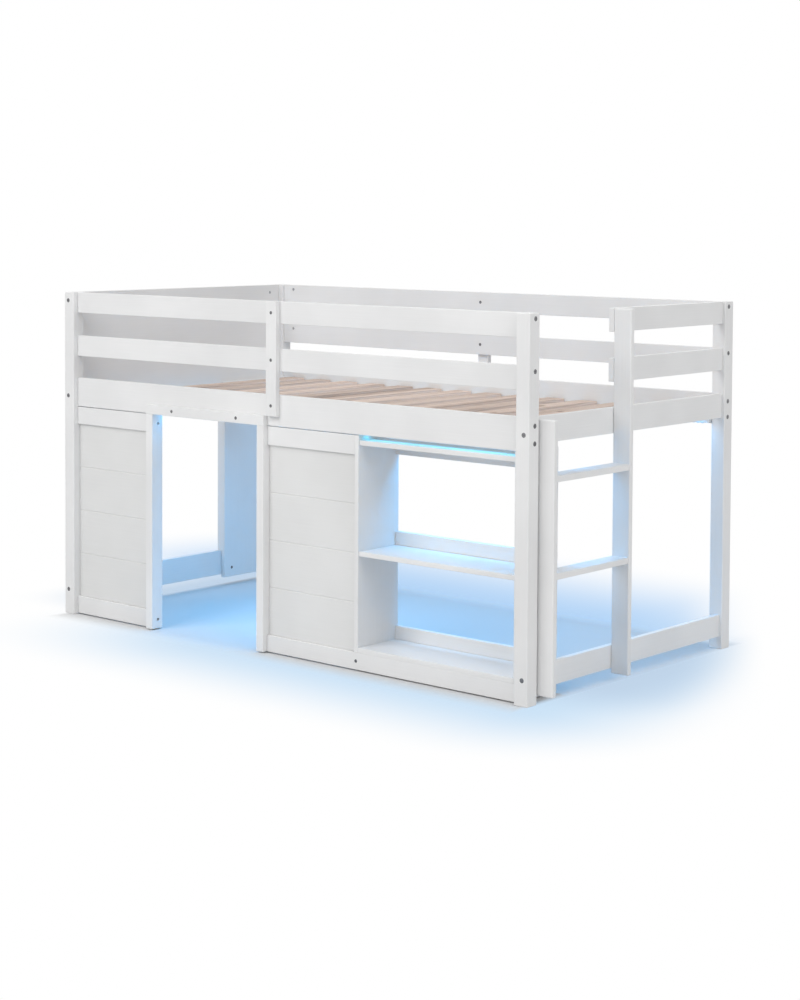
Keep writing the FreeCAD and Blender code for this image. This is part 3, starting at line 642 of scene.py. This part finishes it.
# Studio light: a white room all round, wide lamps from the front, the right and the back,
# and the blue light below the deck
lightSet = {
    "room": 0.415,
    "front": {"place": (-1.2, -6.0, 5.0), "size": (5.0, 5.0), "power": 279.0},
    "right": {"place": (6.2, -1.6, 4.6), "size": (5.0, 5.0), "power": 187.0},
    "back": {"place": (-3.0, 6.5, 4.6), "size": (5.0, 5.0), "power": 70.0},
    "tapeColour": (0.02, 0.46, 1.0),
    "frontTapePower": 0.49,  # from the doorway to the shelf unit
    "shelfTapePower": 0.10,
    "shelfTapeColour": (0.09, 0.67, 1.0),
    "backTapePower": 1.9,
    "shelfDeckPower": 2.9,   # blue light that the slats throw back, from just below them
    "backDeckPower": 2.2,
    "denFrontPower": 1.15,   # over the den
    "denMiddlePower": 1.0,
    "deckSpread": math.radians(150),
    "denSpread": math.radians(112),
    "deckWidth": 0.10,
    "deckMargin": 0.09,      # from the headboard
    "wingMargin": 0.22,      # and this much more beside the wing panel
    "ladderMargin": 0.04,    # from the end board at the ladder
    "tapeDrop": 0.0006,
    "deckDrop": 0.004,
}


def makeRoom():
    world = bpy.data.worlds.new("whiteRoom")
    bpy.context.scene.world = world
    world.use_nodes = True
    tree = world.node_tree
    tree.nodes.clear()
    output = addNode(tree, "ShaderNodeOutputWorld")
    room = addNode(tree, "ShaderNodeBackground")
    room.inputs["Strength"].default_value = lightSet["room"]
    white = addNode(tree, "ShaderNodeBackground")
    white.inputs["Strength"].default_value = 1.0
    for background in (room, white):
        background.inputs["Color"].default_value = (1.0, 1.0, 1.0, 1.0)
    mix = addNode(tree, "ShaderNodeMixShader")
    tree.links.new(backgroundRays(tree), mix.inputs[0])
    tree.links.new(room.outputs[0], mix.inputs[1])
    tree.links.new(white.outputs[0], mix.inputs[2])
    tree.links.new(mix.outputs[0], output.inputs["Surface"])


def addLamp(name, place, aim, size, power, colour=(1.0, 1.0, 1.0), angle=math.pi):
    bpy.ops.object.select_all(action="DESELECT")
    bpy.ops.object.light_add(type="AREA", location=place)
    lamp = bpy.context.object
    lamp.name = name
    lamp.data.shape = "RECTANGLE"
    lamp.data.size, lamp.data.size_y = size
    lamp.data.energy = power
    lamp.data.color = colour
    lamp.data.spread = angle
    lamp.rotation_euler = (Vector(aim) - Vector(place)).to_track_quat("-Z", "Y").to_euler()
    lamp.visible_camera = False


def addDownLamp(name, low, high, z, power, colour=lightSet["tapeColour"], angle=math.pi):
    # a lamp that faces the floor, between two corners
    place = Vector(((low[0] + high[0]) / 2, (low[1] + high[1]) / 2, z))
    size = (high[0] - low[0], high[1] - low[1])
    addLamp(name, place, place - Vector((0.0, 0.0, 1.0)), size, power, colour, angle)


makeRoom()
bedMiddle = (cadBox[0] + cadBox[1]) / 2
for name in ("front", "right", "back"):
    lampSet = lightSet[name]
    addLamp(name + "Lamp", lampSet["place"], bedMiddle, lampSet["size"], lampSet["power"])
tapeZ = stripLow.z - lightSet["tapeDrop"]
frontTape = (stripLow.y, stripLow.y + tapeSet["width"])
backTape = (stripHigh.y - tapeSet["width"], stripHigh.y)
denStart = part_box("door_post_left")[1].x
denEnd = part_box("shelf_side_left")[0].x
for name, (near, far), start, end, colour in (
    ("frontTape", frontTape, denStart, denEnd, lightSet["tapeColour"]),
    ("backTape", backTape, stripLow.x, stripHigh.x, lightSet["tapeColour"]),
    ("shelfTape", frontTape, denEnd, stripHigh.x, lightSet["shelfTapeColour"]),
):
    addDownLamp(name + "Light", (start, near), (end, far), tapeZ, lightSet[name + "Power"], colour)
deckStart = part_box("shelf_top")[1].y
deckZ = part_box("slat_01")[0].z - lightSet["deckDrop"]
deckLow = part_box("headboard_panel")[1].x + lightSet["deckMargin"]
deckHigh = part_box("right_end_board")[0].x - lightSet["ladderMargin"]
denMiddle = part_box("door_post_right")[0].x
wingStart = deckLow + lightSet["wingMargin"]
for name, start, near, end, angle in (
    ("shelfDeck", denMiddle, deckStart, deckHigh, lightSet["deckSpread"]),
    ("denFront", deckLow, deckStart, denMiddle, lightSet["denSpread"]),
    ("denMiddle", deckLow, -lightSet["deckWidth"] / 2, denMiddle, lightSet["denSpread"]),
    ("backDeck", wingStart, backTape[0] - lightSet["deckWidth"], deckHigh, lightSet["deckSpread"]),
):
    far = near + lightSet["deckWidth"]
    addDownLamp(name + "Light", (start, near), (end, far), deckZ, lightSet[name + "Power"], angle=angle)
print("floor and lights ready")


# Camera at the photograph's viewpoint, worked out for a picture of 800 by 1000
cameraSet = {
    "picture": (800, 1000),
    "place": (4.31954, -5.08367, 1.39685),
    "turn": 0.73009,
    "tilt": -0.04471,
    "roll": 0.00406,
    "focal": 2022.80,        # in pixels
    "axisPixel": (340.0, 300.0),
    "filmHeight": 36.0,
}


def makeCamera():
    wide, tall = cameraSet["picture"]
    data = bpy.data.cameras.new("camera")
    camera = bpy.data.objects.new("camera", data)
    bpy.context.scene.collection.objects.link(camera)
    data.sensor_fit = "VERTICAL"
    data.sensor_height = cameraSet["filmHeight"]
    data.lens = cameraSet["focal"] * cameraSet["filmHeight"] / tall
    data.shift_x = (wide / 2 - cameraSet["axisPixel"][0]) / tall
    data.shift_y = (cameraSet["axisPixel"][1] - tall / 2) / tall
    turn = Euler((quarter + cameraSet["tilt"], 0.0, cameraSet["turn"])).to_matrix().to_4x4()
    roll = Matrix.Rotation(cameraSet["roll"], 4, "Z")
    camera.matrix_world = Matrix.Translation(cameraSet["place"]) @ turn @ roll
    bpy.context.scene.camera = camera


makeCamera()
bpy.context.scene.view_settings.view_transform = "Standard"
